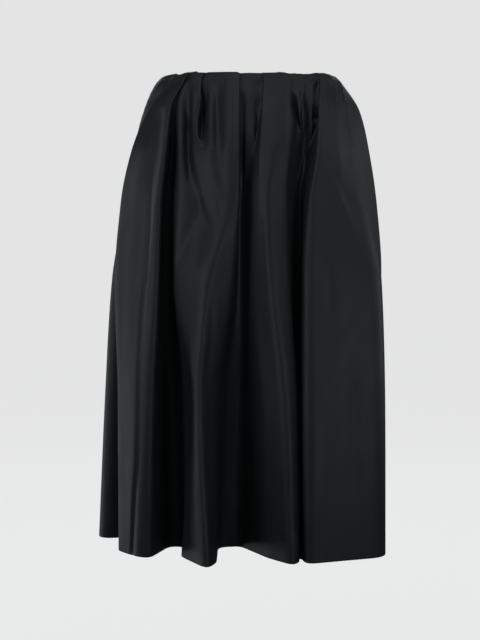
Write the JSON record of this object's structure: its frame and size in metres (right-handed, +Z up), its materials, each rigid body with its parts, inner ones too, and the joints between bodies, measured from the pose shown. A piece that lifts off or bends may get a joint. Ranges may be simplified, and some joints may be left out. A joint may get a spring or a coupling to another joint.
{
  "type": "pleated skirt",
  "caption": "Black satin skirt of midi length, filled out as if worn, its soft uneven pleats falling from a narrow stitched waist edge to a deeply waved hem, with a concealed zip at the back.",
  "frame": {"origin": "centre of the waist opening, 6 mm below the top edge, level with the stitched waist edge, where the skirt is held", "axes": "+Z up along the body, front of the skirt towards -Y, wearer's left side towards +X"},
  "size_m": [0.4966, 0.4277, 0.7925],
  "materials": {
    "satin": "heavy black duchesse satin with a broad soft sheen",
    "tape": "matt black woven zip tape and nylon coil",
    "metal": "black lacquered metal"
  },
  "bodies": {
    "skirt": {"front_panel": "satin", "back_left_panel": "satin", "back_right_panel": "satin", "zip_tape": "tape", "zip_slider": "metal"},
    "pull": {"zip_pull": "metal"}
  },
  "joints": [
    {"name": "pull_swing", "type": "hinge", "parent": "skirt", "child": "pull", "pos_m": [0, 0.10673, -0.00713], "axis": [1, 0, 0], "range_deg": [0, 150]}
  ]
}
